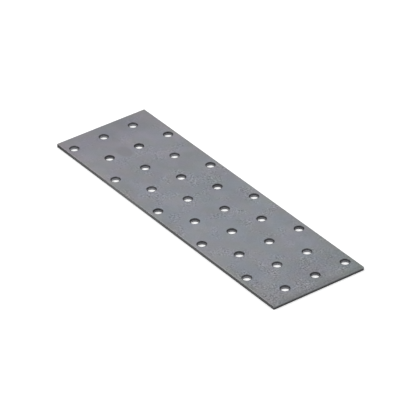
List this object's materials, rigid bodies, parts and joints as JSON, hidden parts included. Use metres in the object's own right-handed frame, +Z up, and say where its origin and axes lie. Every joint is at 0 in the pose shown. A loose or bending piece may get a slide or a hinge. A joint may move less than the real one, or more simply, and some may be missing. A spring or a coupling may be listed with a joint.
{
  "type": "mending plate",
  "caption": "Flat zinc-coated steel mending plate with staggered round nail holes, for joining timbers that lie in one plane.",
  "frame": {"origin": "middle of the underside, the face that lies on the timber", "axes": "+X along the length, +Y across the width, +Z up out of the punched upper face"},
  "size_m": [0.2, 0.06, 0.002],
  "materials": {
    "galvanised_steel": "dull hot-dip zinc coating with a faint mottle, sheared and punched edges bare and darker"
  },
  "bodies": {
    "root": {"mending_plate": "galvanised_steel"}
  },
  "joints": []
}
